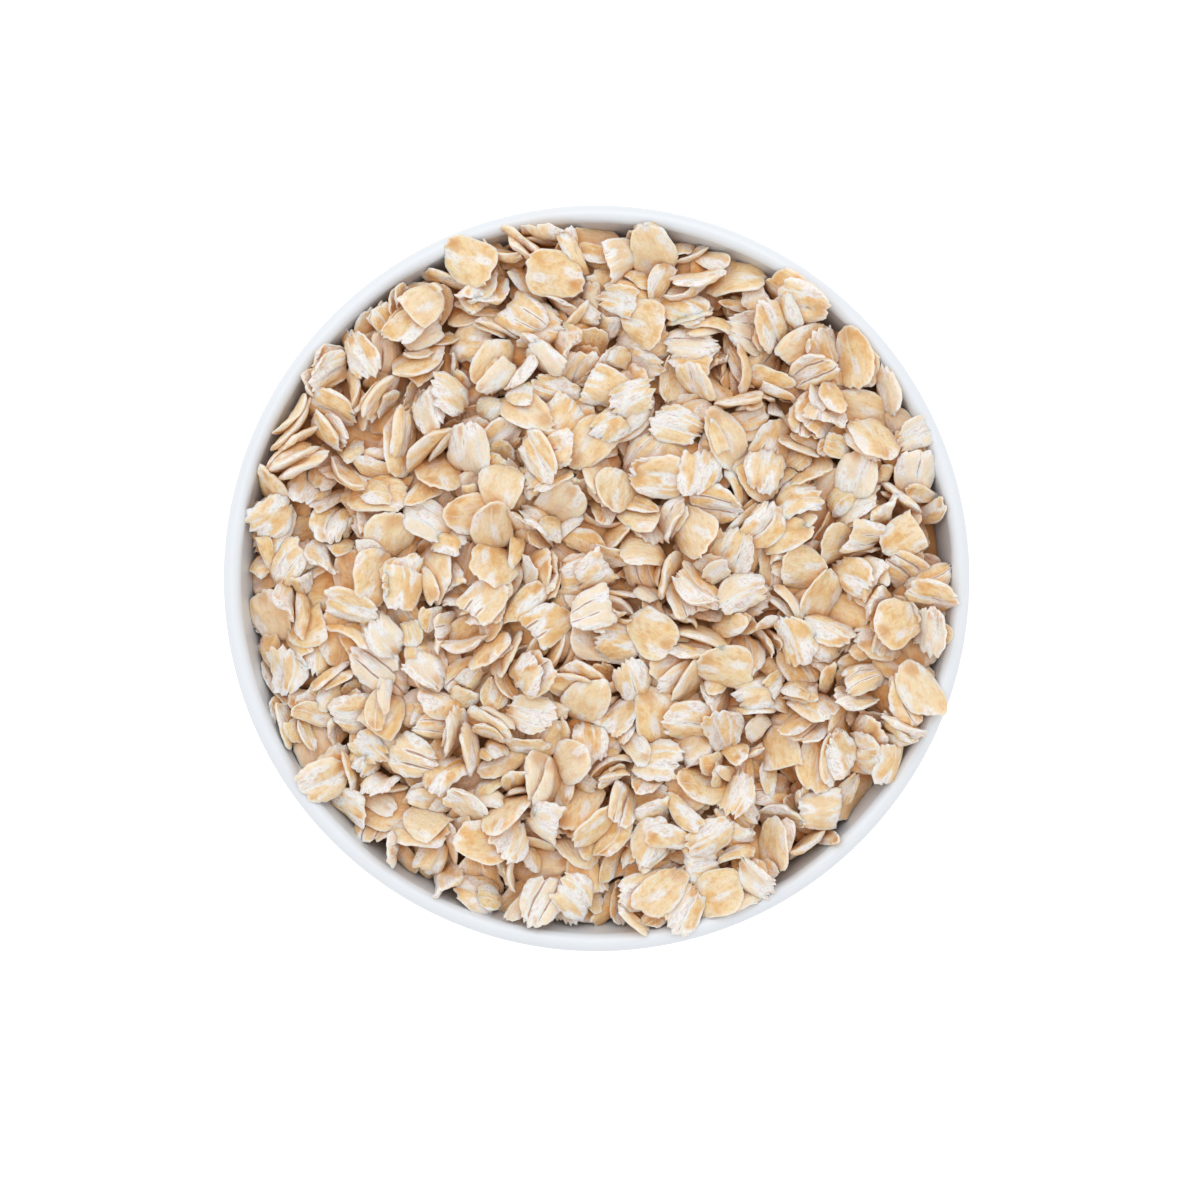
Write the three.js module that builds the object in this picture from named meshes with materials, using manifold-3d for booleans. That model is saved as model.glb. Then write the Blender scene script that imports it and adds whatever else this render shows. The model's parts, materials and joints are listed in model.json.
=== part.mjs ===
// A round porcelain bowl, heaped to the brim with rolled oats.
// Millimetres, +Z up. The foot ring stands on z = 0 and the bowl's axis is Z.
// Two solids: the bowl, turned as one profile, and the heap of oats that fills it,
// a domed core with the flakes that show pressed into it and joined to it.
import * as THREE from "three";
import { mergeVertices } from "three/addons/utils/BufferGeometryUtils.js";
import Module from "manifold-3d";

const wasm = await Module();
wasm.setup();

// Driving dimensions
const bowlSize = {
  rimRadius: 55, // outside of the lip
  height: 52,
  wall: 2.7, // the lip is a full round of this width
  wallLean: THREE.MathUtils.degToRad(18), // of the straight part, off upright
  cornerRadius: 20, // inside, from the wall into the floor
  floorTop: 6.2, // inside floor above the table
  recessTop: 3, // underside inside the foot ring, above the table
  footRadius: 26.5, // outside of the foot ring
  footWidth: 3.4,
  footBevel: 0.5,
  sides: 64,
};

const heapSize = {
  edgeDrop: 2.4, // core surface below the lip, at the wall
  rise: 7.2, // core surface at the middle, above its edge
  shoulder: 2.3, // exponent of the dome: larger is flatter on top
  sag: 1.4, // how much lower the edge lies on its low side
  sagSide: THREE.MathUtils.degToRad(235), // where that is, round from +X
  swell: 0.5, // uneven heaping of the core
  wallGap: 0.35, // between the oats and the bowl
  coreGap: 0.7, // the core stands back further, so that only flakes reach the wall
  sides: 32,
  domeRings: 7,
};

// Flakes that show, largest first. tilt is the usual lean in radians, sink how far a flake's
// lowest corner is pressed in. steepShare is the part of the flakes that stand on edge,
// jammed between others, and so sunk deeper.
const flakeClasses = [
  { share: 0.38, length: 10.6, width: 8.6, tilt: 0.2, sink: 0.5, steepShare: 0 },
  { share: 0.38, length: 9.2, width: 7.2, tilt: 0.34, sink: 0.7, steepShare: 0.16 },
  { share: 0.24, length: 7.6, width: 5.4, tilt: 0.5, sink: 0.9, steepShare: 0.3 },
];
const steepLean = THREE.MathUtils.degToRad(66);
const steepSink = 3.2;
const flakeCount = 190;
const flakeShape = {
  thickness: 1.0, // at the middle of the flake
  cup: 0.6, // how far the edge curls up or down
  ripple: 0.12, // and how unevenly
  points: 7, // corners of the outline
  uneven: 0.12, // share by which corners and sizes differ
};
const edgeInset = 3.1; // flake centres stay this far inside the wall
const seed = 20417;

// One seeded generator, so that every build is the same.
function makeRandom(start) {
  let state = start >>> 0;
  return () => {
    state = (state + 0x6d2b79f5) >>> 0;
    let t = state;
    t = Math.imul(t ^ (t >>> 15), t | 1);
    t ^= t + Math.imul(t ^ (t >>> 7), t | 61);
    return ((t ^ (t >>> 14)) >>> 0) / 4294967296;
  };
}
const random = makeRandom(seed);
const spread = (amount) => (random() * 2 - 1) * amount;

// The inside of the bowl: a flat floor, a round corner and a straight leaning wall up to the lip.
const lipRadius = bowlSize.wall / 2;
const lipCentre = new THREE.Vector2(bowlSize.rimRadius - lipRadius, bowlSize.height - lipRadius);
const innerRim = lipCentre.x - lipRadius;
const cornerCentre = findCornerCentre();

// Inside radius of the straight wall at a height.
function wallRadiusAt(z) {
  return innerRim - (lipCentre.y - z) * Math.tan(bowlSize.wallLean);
}

// The corner's circle touches both the floor and the wall.
function findCornerCentre() {
  const { wallLean, cornerRadius, floorTop } = bowlSize;
  const z = floorTop + cornerRadius;
  const touchZ = z - cornerRadius * Math.sin(wallLean);
  return new THREE.Vector2(wallRadiusAt(touchZ) - cornerRadius * Math.cos(wallLean), z);
}

// A point on a circle in the profile's plane, turned up from the outward direction.
function onCircle(centre, radius, turn) {
  return new THREE.Vector2(centre.x + radius * Math.cos(turn), centre.y + radius * Math.sin(turn));
}

// The corner's arc, moved outwards by an offset, from the floor's side to the wall's.
function cornerArc(offset, steps) {
  const from = -Math.PI / 2;
  const to = -bowlSize.wallLean;
  const arc = [];
  for (let i = 0; i <= steps; i++) {
    const turn = from + ((to - from) * i) / steps;
    arc.push(onCircle(cornerCentre, bowlSize.cornerRadius + offset, turn));
  }
  return arc;
}

function lathe(profile, sides) {
  return new THREE.LatheGeometry(profile, sides).rotateX(Math.PI / 2);
}

// The bowl's section, from the underside's middle round the foot, up the outside, over the
// lip and down the inside to the floor's middle.
function bowlGeometry() {
  const { wall, recessTop, footRadius, footWidth, footBevel, sides } = bowlSize;
  const arcSteps = 6;
  const lipSteps = 4;
  const profile = [
    new THREE.Vector2(0, recessTop),
    new THREE.Vector2(footRadius - footWidth - footBevel, recessTop),
    new THREE.Vector2(footRadius - footWidth, 0),
    new THREE.Vector2(footRadius - footBevel, 0),
    new THREE.Vector2(footRadius, footBevel),
  ];
  profile.push(...cornerArc(wall, arcSteps).filter((point) => point.x > footRadius));
  profile.push(onCircle(lipCentre, lipRadius, -bowlSize.wallLean));
  for (let i = 0; i <= lipSteps; i++) {
    profile.push(onCircle(lipCentre, lipRadius, (Math.PI * i) / lipSteps));
  }
  profile.push(...cornerArc(0, arcSteps).reverse());
  profile.push(new THREE.Vector2(0, bowlSize.floorTop));
  return lathe(profile, sides);
}

// The heap's surface, z over (x, y): a dome that falls to its edge at the wall.
const edgeLevel = bowlSize.height - heapSize.edgeDrop;
const edgeRadius = wallRadiusAt(edgeLevel);

function heapHeight(x, y) {
  const { rise, shoulder, sag, sagSide, swell } = heapSize;
  const reach = Math.min(1, Math.hypot(x, y) / edgeRadius);
  const dome = rise * (1 - reach ** shoulder);
  const low = sag * reach ** 2 * Math.max(0, Math.cos(Math.atan2(y, x) - sagSide));
  const waves =
    Math.sin(x * 0.115 + 0.6) * Math.cos(y * 0.098 - 0.4) + 0.6 * Math.sin(x * 0.21 - y * 0.17);
  return edgeLevel + dome - low + swell * waves * (1 - reach ** 4);
}

// The slope of that surface, as an upward normal.
function heapNormal(x, y) {
  const step = 0.5;
  return new THREE.Vector3(
    heapHeight(x - step, y) - heapHeight(x + step, y),
    heapHeight(x, y - step) - heapHeight(x, y + step),
    2 * step,
  ).normalize();
}

// The inside of the bowl, drawn in by a gap, up to a height on the straight wall.
function fillProfile(gap, top) {
  return [
    new THREE.Vector2(0, bowlSize.floorTop + gap),
    ...cornerArc(-gap, 4),
    new THREE.Vector2(wallRadiusAt(top) - gap, top),
  ];
}

function coreGeometry() {
  const { sides, domeRings, coreGap } = heapSize;
  const profile = fillProfile(coreGap, edgeLevel);
  const reach = edgeRadius - coreGap;
  for (let i = domeRings - 1; i >= 0; i--) {
    profile.push(new THREE.Vector2((reach * i) / domeRings, edgeLevel));
  }
  const geometry = lathe(profile, sides);
  const position = geometry.getAttribute("position");
  for (let i = 0; i < position.count; i++) {
    if (position.getZ(i) < edgeLevel - 0.01) continue;
    const x = position.getX(i);
    const y = position.getY(i);
    const z = heapHeight(x, y);
    const shrink = 1 - (Math.max(0, edgeLevel - z) * Math.tan(bowlSize.wallLean)) / reach;
    position.setXYZ(i, x * shrink, y * shrink, z);
  }
  return geometry;
}

// An oat flake lying in XY, long way along X: an uneven oval lens with a sharp edge, cupped.
function flakeGeometry(length, width) {
  const { thickness, cup, points, uneven, ripple } = flakeShape;
  const curl = (random() < 0.65 ? -1 : 1) * cup * (0.4 + random());
  const vertices = [0, 0, thickness / 2, 0, 0, -thickness / 2];
  const faces = [];
  for (let i = 0; i < points; i++) {
    const angle = (2 * Math.PI * (i + 0.5 + spread(0.2))) / points;
    const reach = 1 + spread(uneven);
    vertices.push(
      (length / 2) * reach * Math.cos(angle),
      (width / 2) * reach * Math.sin(angle),
      curl * (0.5 + 0.5 * Math.cos(angle) ** 2) + spread(ripple),
    );
    const here = 2 + i;
    const next = 2 + ((i + 1) % points);
    faces.push(0, here, next, 1, next, here);
  }
  const geometry = new THREE.BufferGeometry();
  geometry.setAttribute("position", new THREE.Float32BufferAttribute(vertices, 3));
  geometry.setIndex(faces);
  return geometry;
}

// How a flake lies at (x, y): turned any way, and leaning off the heap's own slope.
function flakeTurn(lean, x, y) {
  const leanAxis = random() * 2 * Math.PI;
  const toSlope = new THREE.Quaternion().setFromUnitVectors(
    new THREE.Vector3(0, 0, 1),
    heapNormal(x, y),
  );
  const toLean = new THREE.Quaternion().setFromAxisAngle(
    new THREE.Vector3(Math.cos(leanAxis), Math.sin(leanAxis), 0),
    lean,
  );
  const toSpin = new THREE.Quaternion().setFromAxisAngle(
    new THREE.Vector3(0, 0, 1),
    random() * 2 * Math.PI,
  );
  return toSlope.multiply(toLean).multiply(toSpin);
}

// Sets a flake down on the heap at (x, y), its lowest corner pressed in.
function laidFlake(kind, x, y) {
  const size = 1 + spread(flakeShape.uneven);
  const flake = flakeGeometry(kind.length * size, kind.width * size);
  const steep = random() < kind.steepShare;
  const lean = steep ? steepLean + spread(0.25) : kind.tilt * (0.85 + spread(0.55));
  flake.applyQuaternion(flakeTurn(lean, x, y));
  const corners = flake.getAttribute("position");
  let clearance = Infinity;
  for (let i = 0; i < corners.count; i++) {
    const ground = heapHeight(x + corners.getX(i), y + corners.getY(i));
    clearance = Math.min(clearance, corners.getZ(i) - ground);
  }
  return flake.translate(x, y, -clearance - (steep ? steepSink : kind.sink));
}

// The spots where flakes of one kind lie, all kinds together on one golden-angle spiral. A
// second irrational stride deals the spots out, so that each kind is evenly spread too.
function spotsFor(kind) {
  const golden = (Math.sqrt(5) - 1) / 2;
  const stride = 7 * golden;
  const before = flakeClasses.slice(0, flakeClasses.indexOf(kind));
  const from = before.reduce((sum, other) => sum + other.share, 0);
  const spots = [];
  for (let i = 0; i < flakeCount; i++) {
    const pick = (i * stride) % 1;
    if (pick < from || pick >= from + kind.share) continue;
    const reach = (edgeRadius - edgeInset) * Math.sqrt((i + 0.5) / flakeCount);
    const angle = 2 * Math.PI * golden * i;
    spots.push([reach * Math.cos(angle) + spread(0.9), reach * Math.sin(angle) + spread(0.9)]);
  }
  return spots;
}

// A three.js geometry as a manifold solid, and back.
function toSolid(geometry) {
  const bare = geometry.clone();
  bare.deleteAttribute("normal");
  bare.deleteAttribute("uv");
  const merged = mergeVertices(bare, 1e-4);
  return new wasm.Manifold(
    new wasm.Mesh({
      numProp: 3,
      vertProperties: new Float32Array(merged.getAttribute("position").array),
      triVerts: new Uint32Array(merged.index.array),
    }),
  );
}

function toGeometry(solid) {
  const mesh = solid.getMesh();
  const geometry = new THREE.BufferGeometry();
  geometry.setAttribute("position", new THREE.Float32BufferAttribute(mesh.vertProperties, 3));
  geometry.setIndex([...mesh.triVerts]);
  geometry.computeVertexNormals();
  return geometry;
}

// All the room that oats may take: the inside of the bowl and the open space over its lip.
function roomForOats() {
  const { wallGap } = heapSize;
  const overLip = bowlSize.height + wallGap;
  const openTop = overLip + 30;
  const profile = [
    ...fillProfile(wallGap, lipCentre.y),
    new THREE.Vector2(lipCentre.x - lipRadius * 0.6, overLip),
    new THREE.Vector2(lipCentre.x, overLip),
    new THREE.Vector2(lipCentre.x, openTop),
    new THREE.Vector2(0, openTop),
  ];
  return toSolid(lathe(profile, bowlSize.sides));
}

// The core with every flake joined to it, each flake shortened where it would cross the wall.
// What fusing sealed is filled and what it left loose is dropped, as only the largest outer
// skin is kept.
function heapGeometry() {
  const room = roomForOats();
  let heap = toSolid(coreGeometry());
  for (const kind of flakeClasses) {
    for (const [x, y] of spotsFor(kind)) {
      heap = heap.add(toSolid(laidFlake(kind, x, y)).intersect(room));
    }
  }
  const skins = heap.decompose();
  skins.sort((a, b) => b.volume() - a.volume());
  return toGeometry(skins[0]);
}

function glazedPorcelain() {
  return new THREE.MeshStandardMaterial({ color: 0xe8ecf0, roughness: 0.22, metalness: 0 });
}

function rolledOats() {
  return new THREE.MeshStandardMaterial({ color: 0xddc19f, roughness: 0.85, metalness: 0 });
}

const bowl = new THREE.Mesh(bowlGeometry(), glazedPorcelain());
bowl.name = "bowl";

const oats = new THREE.Mesh(heapGeometry(), rolledOats());
oats.name = "oats";

const filledBowl = new THREE.Group();
filledBowl.add(bowl, oats);

export default filledBowl;
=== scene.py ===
# A round porcelain bowl heaped with rolled oats. Metres, Z up; the bowl stands on z = 0.
import bpy
import json
import math
import numpy as np
from mathutils import Matrix, Quaternion, Vector

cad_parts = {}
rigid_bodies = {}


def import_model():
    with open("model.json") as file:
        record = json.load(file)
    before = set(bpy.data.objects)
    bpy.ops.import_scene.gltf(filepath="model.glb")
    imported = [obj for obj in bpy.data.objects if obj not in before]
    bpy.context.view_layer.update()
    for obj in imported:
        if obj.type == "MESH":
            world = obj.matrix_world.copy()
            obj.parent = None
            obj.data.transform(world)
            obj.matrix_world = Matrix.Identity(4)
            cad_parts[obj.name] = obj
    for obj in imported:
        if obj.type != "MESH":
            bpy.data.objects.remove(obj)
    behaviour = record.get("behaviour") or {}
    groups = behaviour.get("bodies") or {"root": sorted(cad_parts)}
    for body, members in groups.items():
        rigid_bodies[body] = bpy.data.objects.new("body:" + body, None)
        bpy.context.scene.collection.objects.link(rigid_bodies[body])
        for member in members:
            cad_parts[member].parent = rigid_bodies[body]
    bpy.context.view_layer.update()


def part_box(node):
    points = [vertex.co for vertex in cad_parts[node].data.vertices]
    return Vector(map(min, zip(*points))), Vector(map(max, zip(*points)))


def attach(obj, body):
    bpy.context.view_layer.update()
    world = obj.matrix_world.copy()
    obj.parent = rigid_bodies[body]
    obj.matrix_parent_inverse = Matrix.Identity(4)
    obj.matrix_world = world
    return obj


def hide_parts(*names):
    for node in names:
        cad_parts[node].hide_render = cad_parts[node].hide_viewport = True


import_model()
scene = bpy.context.scene
mm = 0.001
print("frame loaded")


def hexToLinear(code):
    channels = [int(code[i:i + 2], 16) / 255 for i in (1, 3, 5)]
    return [c / 12.92 if c <= 0.04045 else ((c + 0.055) / 1.055) ** 2.4 for c in channels] + [1.0]


# adds a node; settings are its own properties, inputs are values or sockets by name or number
def addNode(tree, kind, settings=None, inputs=None):
    node = tree.nodes.new(kind)
    for name, value in (settings or {}).items():
        setattr(node, name, value)
    for name, value in (inputs or {}).items():
        if isinstance(value, bpy.types.NodeSocket):
            tree.links.new(value, node.inputs[name])
        else:
            node.inputs[name].default_value = value
    return node


def newMaterial(name):
    material = bpy.data.materials.new(name)
    material.use_nodes = True
    material.node_tree.nodes.clear()
    return material, material.node_tree


def newTree(name, sockets):
    tree = bpy.data.node_groups.new(name, "GeometryNodeTree")
    for label, kind in sockets.items():
        tree.interface.new_socket(label, in_out="INPUT", socket_type=kind)
    tree.interface.new_socket("Result", in_out="OUTPUT", socket_type="NodeSocketGeometry")
    return tree, addNode(tree, "NodeGroupInput").outputs


def addPiece(name, mesh):
    piece = bpy.data.objects.new(name, mesh)
    scene.collection.objects.link(piece)
    return piece


# runs a tree on a piece and keeps the result as its plain mesh
def applyTree(piece, tree, values):
    modifier = piece.modifiers.new(tree.name, "NODES")
    modifier.node_group = tree
    for socket in tree.interface.items_tree:
        if socket.in_out == "INPUT" and socket.name in values:
            modifier[socket.identifier] = values[socket.name]
    depsgraph = bpy.context.evaluated_depsgraph_get()
    mesh = bpy.data.meshes.new_from_object(piece.evaluated_get(depsgraph), depsgraph=depsgraph)
    piece.modifiers.remove(modifier)
    start, piece.data = piece.data, mesh
    bpy.data.meshes.remove(start)
    mesh.name = piece.name
    return piece


def arcPoints(centre, radius, fromDegrees, toDegrees, steps):
    turns = np.radians(np.linspace(fromDegrees, toDegrees, steps + 1))
    return [(centre[0] + radius * math.cos(t), centre[1] + radius * math.sin(t)) for t in turns]


# the camera looks straight down
cameraSet = {
    "lens": 100.0,              # mm, on a 36 mm sensor
    "aboveRim": 0.4902,         # m from the rim's plane to the lens
    "over": (0.0005, -0.0032),  # m, the point of the rim's plane right under the lens
    "clipStart": 0.01,          # m
}
bowlLow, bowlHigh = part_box("bowl")
camera = bpy.data.objects.new("camera", bpy.data.cameras.new("camera"))
camera.data.lens = cameraSet["lens"]
camera.data.clip_start = cameraSet["clipStart"]
camera.location = (*cameraSet["over"], bowlHigh.z + cameraSet["aboveRim"])
scene.collection.objects.link(camera)
scene.camera = camera
print("camera placed")


# the bowl, with the same section as its solid, in mm
bowlSet = {
    "rimRadius": bowlHigh.x / mm,
    "height": bowlHigh.z / mm,
    "wall": 2.7,
    "wallLean": 18.0,      # degrees off upright
    "cornerRadius": 20.0,  # inside
    "floorTop": 6.2,
    "recessTop": 3.0,
    "footRadius": 26.5,
    "footWidth": 3.4,
    "footRound": 0.5,
    "sides": 192,
    "arcSteps": 24,        # of the inside corner and of the lip
    "outerSteps": 40,      # of the outside corner
    "footSteps": 4,
    "spine": 30.0,         # radius of the circle that the section is swept along
    "sharpFrom": 50.0,     # degrees between faces
    "glaze": ("#D8DFE7", "#DEE4EB"),
}
lean = math.radians(bowlSet["wallLean"])
lipRadius = bowlSet["wall"] / 2
lipCentre = (bowlSet["rimRadius"] - lipRadius, bowlSet["height"] - lipRadius)
innerRim = lipCentre[0] - lipRadius


def wallRadius(z):  # the straight wall's inside
    return innerRim - (lipCentre[1] - z) * math.tan(lean)


cornerZ = bowlSet["floorTop"] + bowlSet["cornerRadius"]
cornerR = wallRadius(cornerZ - bowlSet["cornerRadius"] * math.sin(lean)) \
    - bowlSet["cornerRadius"] * math.cos(lean)


def bowlSection():  # from the middle of the floor over the lip to the middle underneath
    foot, wide, bevel = bowlSet["footRadius"], bowlSet["footWidth"], bowlSet["footRound"]
    corner, leaning = (cornerR, cornerZ), bowlSet["wallLean"]
    steps, footSteps = bowlSet["arcSteps"], bowlSet["footSteps"]
    outside = arcPoints(corner, bowlSet["cornerRadius"] + bowlSet["wall"], -leaning, -90,
                        bowlSet["outerSteps"])
    # the outside ends short of the foot and turns down into it
    outside = [p for p in outside if p[0] > foot + 0.4]
    return [
        (0, bowlSet["floorTop"]),
        *arcPoints(corner, bowlSet["cornerRadius"], -90, -leaning, steps),
        *arcPoints(lipCentre, lipRadius, 180 - leaning * 0.3, -leaning, steps),
        *outside,
        (foot + 0.15, outside[-1][1] - 0.2),
        (foot, outside[-1][1] - 0.7),
        *arcPoints((foot - bevel, bevel), bevel, 0, -90, footSteps),
        *arcPoints((foot - wide + bevel, bevel), bevel, -90, -165, footSteps),
        (foot - wide - bevel, bowlSet["recessTop"] - 0.3),
        (foot - wide - 2 * bevel, bowlSet["recessTop"]),
        (0, bowlSet["recessTop"]),
    ]


# sweeps a section drawn at (radius - Spine, -height) round the Z axis
def makeTurnTree():
    tree, given = newTree("turnSection", {
        "Section": "NodeSocketGeometry", "Spine": "NodeSocketFloat", "Sides": "NodeSocketInt",
        "Material": "NodeSocketMaterial"})
    section = addNode(tree, "GeometryNodeMeshToCurve", None, {"Mesh": given["Section"]})
    spine = addNode(tree, "GeometryNodeCurvePrimitiveCircle", None, {
        "Resolution": given["Sides"], "Radius": given["Spine"]})
    skin = addNode(tree, "GeometryNodeCurveToMesh", None, {
        "Curve": spine.outputs["Curve"], "Profile Curve": section.outputs["Curve"]})
    closed = addNode(tree, "GeometryNodeMergeByDistance", None, {
        "Geometry": skin.outputs["Mesh"], "Distance": 1e-6})
    real = addNode(tree, "GeometryNodeRealizeInstances", None, {
        "Geometry": closed.outputs["Geometry"]})
    coated = addNode(tree, "GeometryNodeSetMaterial", None, {
        "Geometry": real.outputs["Geometry"], "Material": given["Material"]})
    addNode(tree, "NodeGroupOutput", None, {"Result": coated.outputs["Geometry"]})
    return tree


# hard porcelain, dipped and fired: dense blue-white body under a clear, even gloss,
# with the faint orange peel of its glaze
def makePorcelain():
    material, tree = newMaterial("glazedPorcelain")
    place = addNode(tree, "ShaderNodeTexCoord").outputs["Object"]
    # clouds of 18 mm in the glaze's colour
    cloud = addNode(tree, "ShaderNodeTexNoise", None, {
        "Vector": place, "Scale": 55.0, "Detail": 2.0})
    dark, light = [hexToLinear(code) for code in bowlSet["glaze"]]
    tint = addNode(tree, "ShaderNodeMix", {"data_type": "RGBA"}, {
        "Factor": cloud.outputs["Fac"], 6: dark, 7: light})
    # peel of 2 to 3 mm, as on thick glaze
    peel = addNode(tree, "ShaderNodeTexNoise", None, {
        "Vector": place, "Scale": 420.0, "Detail": 1.0})
    bump = addNode(tree, "ShaderNodeBump", None, {
        "Height": peel.outputs["Fac"], "Strength": 0.12, "Distance": 0.00006})
    shader = addNode(tree, "ShaderNodeBsdfPrincipled", None, {
        "Base Color": tint.outputs[2], "Roughness": 0.2, "IOR": 1.5,
        "Normal": bump.outputs["Normal"]})
    addNode(tree, "ShaderNodeOutputMaterial", None, {"Surface": shader.outputs["BSDF"]})
    return material


# a piece turned from a section of radii and heights in mm
def turnPiece(name, section, sides, material):
    spine = bowlSet["spine"]
    line = bpy.data.meshes.new(name + "Section")
    line.from_pydata([((r - spine) * mm, -z * mm, 0) for r, z in section],
                     [(i, i + 1) for i in range(len(section) - 1)], [])
    piece = applyTree(addPiece(name, line), turnTree, {
        "Spine": spine * mm, "Sides": sides, "Material": material})
    piece.data.shade_smooth()
    return piece


turnTree = makeTurnTree()
porcelainBowl = turnPiece("porcelainBowl", bowlSection(), bowlSet["sides"], makePorcelain())
porcelainBowl.data.set_sharp_from_angle(angle=math.radians(bowlSet["sharpFrom"]))
print("bowl turned,", len(porcelainBowl.data.polygons), "faces")


# the heap's core, in mm
heapSet = {
    "coreMiddle": 49.6,   # above the table
    "coreEdge": 46.8,     # at the wall
    "shoulder": 2.6,      # exponent of the dome
    "lowSide": 245.0,     # degrees round from +X, where the heap lies lowest
    "lowSag": 2.1,
    "wallGap": 0.35,
    "relief": 0.5,        # of the crumbs
    "coreSides": 96,
    "coreSteps": (28, 5, 12),  # points of its top, of the wall's part and of the corner's
    # painted shade: the core's colours are darkened brown for the little light deep in the heap,
    # and a cell's border darker still for the shade between flakes
    "coreShadeColours": ("#C08A55", "#8A5A36"),  # of a cell's middle and of its border
    "seed": 7,
    "scatterSeed": 11,    # of the first kind; each of the others has the next one
}


def coreHeight(x, y):
    reach = np.minimum(1, np.hypot(x, y) / innerRim)
    low = np.maximum(0, np.cos(np.arctan2(y, x) - math.radians(heapSet["lowSide"])))
    return heapSet["coreEdge"] - heapSet["lowSag"] * reach ** 2 * low \
        + (heapSet["coreMiddle"] - heapSet["coreEdge"]) * (1 - reach ** heapSet["shoulder"])


# the kinds of flake, in mm; a pair is the least and the most
flakeKinds = {
    "flakesSmooth": {
        "count": 170, "shapes": 8, "cells": (11, 12), "length": (7.6, 9.8), "width": (5.4, 7.2),
        "thickness": (1.2, 1.6), "lobes": (1, 2), "crease": 0.35, "bow": (-0.2, 0.2),
        "wave": (0.0, 0.15), "wing": (0.0, 0.4), "bend": (0.0, 0.8), "cup": (-0.3, 0.7),
        "ragged": 0.12, "nicks": 1, "torn": -0.5, "broken": 0.1},
    "flakesCreased": {
        "count": 225, "shapes": 9, "cells": (12, 14), "length": (7.4, 9.8), "width": (4.8, 6.8),
        "thickness": (1.3, 1.8), "lobes": (2, 3), "crease": 1.0, "bow": (-0.3, 0.3),
        "wave": (0.0, 0.3), "wing": (0.0, 0.6), "bend": (0.0, 1.0), "cup": (-0.2, 0.9),
        "ragged": 0.2, "nicks": 3, "torn": 0.1, "broken": 0.15},
    "flakesFloury": {
        "count": 195, "shapes": 8, "cells": (12, 14), "length": (6.8, 9.2), "width": (4.6, 6.8),
        "thickness": (1.1, 1.6), "lobes": (2, 4), "crease": 0.8, "bow": (-0.4, 0.4),
        "wave": (0.0, 0.35), "wing": (0.1, 0.7), "bend": (0.1, 1.1), "cup": (-0.2, 1.0),
        "ragged": 0.3, "nicks": 4, "torn": 0.6, "broken": 0.4},
    "flakesSlivers": {
        "count": 250, "shapes": 9, "cells": (12, 7), "length": (5.6, 8.8), "width": (2.0, 3.8),
        "thickness": (1.1, 1.5), "lobes": (1, 2), "crease": 0.6, "bow": (-1.0, 1.0),
        "wave": (0.0, 0.15), "wing": (0.0, 0.3), "bend": (0.0, 1.0), "cup": (-0.2, 0.4),
        "ragged": 0.18, "nicks": 0, "torn": -0.1, "broken": 0.3},
    "flakesBroken": {
        "count": 290, "shapes": 9, "cells": (8, 8), "length": (3.6, 6.4), "width": (2.8, 4.8),
        "thickness": (0.9, 1.4), "lobes": (1, 3), "crease": 0.6, "bow": (-0.4, 0.4),
        "wave": (0.0, 0.2), "wing": (0.0, 0.4), "bend": (0.0, 0.5), "cup": (-0.2, 0.5),
        "ragged": 0.24, "nicks": 1, "torn": 0.1, "broken": 0.8},
}
flakeSet = {
    "knots": 19,                 # places along an edge where it may be torn
    "edgeThinning": 0.72,        # share of its thickness that a flake loses at its edge
    "edgeRound": 0.4,            # how far the edge bulges, as a share of its thickness
    "creaseDepth": (0.34, 0.2),  # mm, of a crease and of the dip around it
    "creaseWidth": (0.1, 0.26),  # of the same, in lobes
    "tornDepth": 0.12,           # mm of skin rubbed off
    "sharpFrom": 62.0,           # degrees between faces
}


# draws the settings of one shape of a kind
def drawShape(kind, rng):
    shape = {name: rng.uniform(*kind[name])
             for name in ("length", "width", "thickness", "bow", "wave", "wing", "bend", "cup")}
    knots = flakeSet["knots"]
    shape["knots"] = np.linspace(-1, 1, knots)
    shape["ends"] = kind["ragged"] * rng.random((2, knots)) ** 1.3
    shape["sides"] = 0.5 * kind["ragged"] * rng.random((2, knots)) ** 2
    for _ in range(kind["nicks"]):
        shape["ends"][rng.integers(2), rng.integers(3, knots - 3)] += rng.uniform(0.06, 0.2)
    shape["blunt"] = rng.uniform(0.86, 1.0)
    shape["egg"] = rng.uniform(-0.22, 0.22)
    shape["cut"] = rng.uniform(0.3, 0.75) if rng.random() < kind["broken"] else 1.0
    shape["slant"] = rng.uniform(-0.35, 0.35)
    shape["lobes"] = int(rng.integers(kind["lobes"][0], kind["lobes"][1] + 1))
    shape["lobeShift"] = rng.uniform(-0.2, 0.2)
    shape["wingAt"] = rng.uniform(0.0, 0.5)
    shape["wingSide"] = rng.choice([-1, 1])
    shape["twist"] = rng.uniform(-0.4, 0.4)
    shape["curl"] = rng.uniform(-0.3, 0.3)
    shape["torn"] = kind["torn"]
    shape["turns"] = rng.uniform(0, 2 * math.pi, 28)
    # creases of each face: how deep, from where along it, which way, how bowed
    shape["creases"] = [(kind["crease"] * rng.uniform(0.7, 1.1), rng.uniform(-1.8, -0.2),
                         rng.choice([-1, 1]), rng.uniform(-0.14, 0.14)) for _ in range(2)]
    return shape


def smoothStep(low, high, value):
    t = np.clip((value - low) / (high - low), 0, 1)
    return t * t * (3 - 2 * t)


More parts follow.
